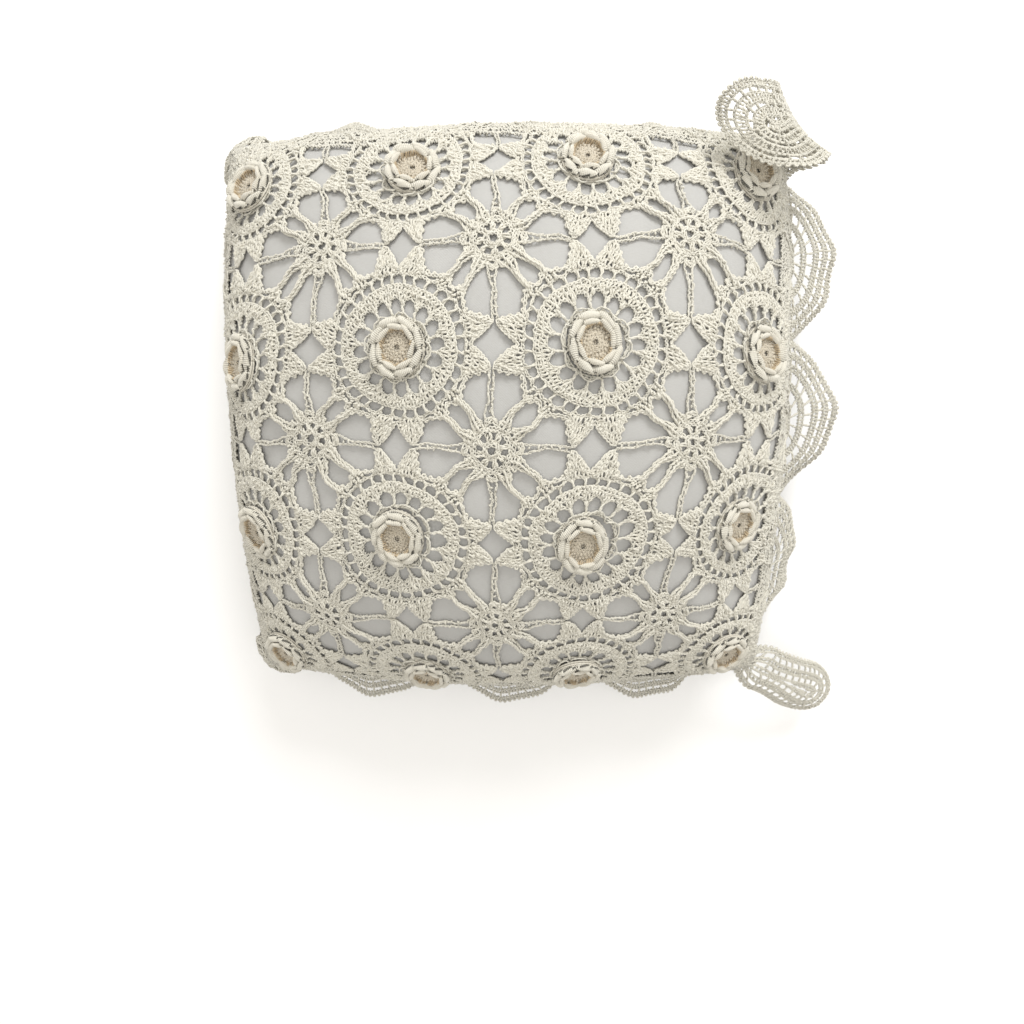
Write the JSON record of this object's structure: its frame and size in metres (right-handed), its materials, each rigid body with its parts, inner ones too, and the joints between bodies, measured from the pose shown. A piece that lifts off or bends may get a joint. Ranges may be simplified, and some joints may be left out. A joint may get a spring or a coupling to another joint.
{
  "type": "ring bearer pillow",
  "caption": "Square stuffed pillow with a crocheted lace cover of raised roses and spoked stars over a plain cotton casing, and a scalloped lace edging round its seam.",
  "frame": {"origin": "middle of the flat patch of the back that the pillow lies on, at the surface below it", "axes": "+Z out of the lace front, up as the pillow lies; +X to the right and +Y to the top of the pillow as its front is seen"},
  "size_m": [0.3224, 0.3141, 0.1167],
  "materials": {
    "fibre": "loose white polyester fibre, matte",
    "casing_cotton": "plain-woven off-white cotton, matte",
    "crochet_cotton": "ivory cotton crochet thread, matte with a faint sheen",
    "rose_cotton": "warm ivory cotton crochet thread, matte"
  },
  "bodies": {
    "root": {"fibre_filling": "fibre", "casing_front": "casing_cotton", "casing_back": "casing_cotton", "motif_r1c1": "crochet_cotton", "motif_r1c2": "crochet_cotton", "motif_r1c3": "crochet_cotton", "motif_r1c4": "crochet_cotton", "motif_r2c1": "crochet_cotton", "motif_r2c2": "crochet_cotton", "motif_r2c3": "crochet_cotton", "motif_r2c4": "crochet_cotton", "motif_r3c1": "crochet_cotton", "motif_r3c2": "crochet_cotton", "motif_r3c3": "crochet_cotton", "motif_r3c4": "crochet_cotton", "motif_r4c1": "crochet_cotton", "motif_r4c2": "crochet_cotton", "motif_r4c3": "crochet_cotton", "motif_r4c4": "crochet_cotton", "rose_r1c1": "rose_cotton", "rose_r1c2": "rose_cotton", "rose_r1c3": "rose_cotton", "rose_r1c4": "rose_cotton", "rose_r2c1": "rose_cotton", "rose_r2c2": "rose_cotton", "rose_r2c3": "rose_cotton", "rose_r2c4": "rose_cotton", "rose_r3c1": "rose_cotton", "rose_r3c2": "rose_cotton", "rose_r3c3": "rose_cotton", "rose_r3c4": "rose_cotton", "rose_r4c1": "rose_cotton", "rose_r4c2": "rose_cotton", "rose_r4c3": "rose_cotton", "rose_r4c4": "rose_cotton", "star_r1c1": "crochet_cotton", "star_r1c2": "crochet_cotton", "star_r1c3": "crochet_cotton", "star_r2c1": "crochet_cotton", "star_r2c2": "crochet_cotton", "star_r2c3": "crochet_cotton", "star_r3c1": "crochet_cotton", "star_r3c2": "crochet_cotton", "star_r3c3": "crochet_cotton", "edging_right": "crochet_cotton", "edging_top": "crochet_cotton", "edging_left": "crochet_cotton", "edging_bottom": "crochet_cotton", "edging_top_right": "crochet_cotton", "edging_top_left": "crochet_cotton", "edging_bottom_left": "crochet_cotton", "edging_bottom_right": "crochet_cotton"}
  },
  "joints": []
}
